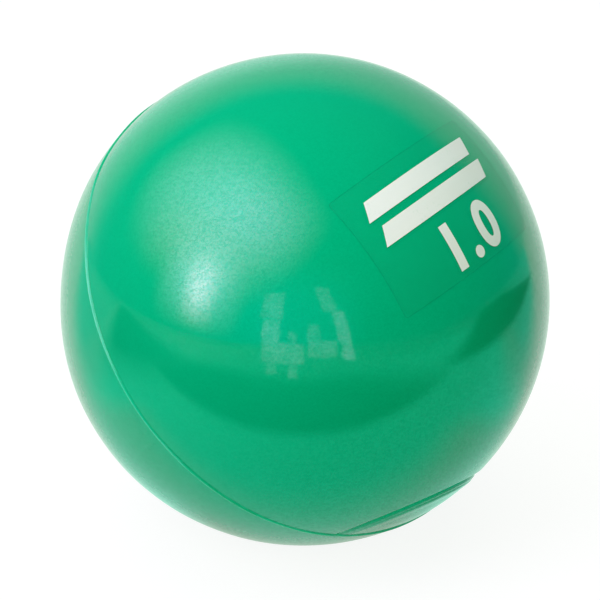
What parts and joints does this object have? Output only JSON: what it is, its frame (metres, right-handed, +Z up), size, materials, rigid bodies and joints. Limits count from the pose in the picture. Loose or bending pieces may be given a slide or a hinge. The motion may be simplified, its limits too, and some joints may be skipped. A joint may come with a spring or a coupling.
{
  "type": "soft shot put ball",
  "caption": "Soft indoor shot: a sand-filled PVC ball with a plugged filling neck and a clear label film, resting on the flat its weight presses.",
  "frame": {"origin": "middle of the small flat that the resting ball presses, at floor level", "axes": "+Z up; the viewer stands at -Y, and the ball's upper pole leans towards the viewer and +X"},
  "size_m": [0.11, 0.11, 0.1082],
  "materials": {
    "pearl_pvc": "soft rotomoulded PVC, pearl green with fine flake and a clear gloss",
    "plug_pvc": "soft PVC bung, plain green, satin",
    "dry_sand": "dry washed sand, matt",
    "clear_film": "clear self-adhesive vinyl over the green skin, with a white print"
  },
  "bodies": {
    "root": {"shell": "pearl_pvc", "filler_plug": "plug_pvc", "sand_fill": "dry_sand", "label_film": "clear_film"}
  },
  "joints": []
}
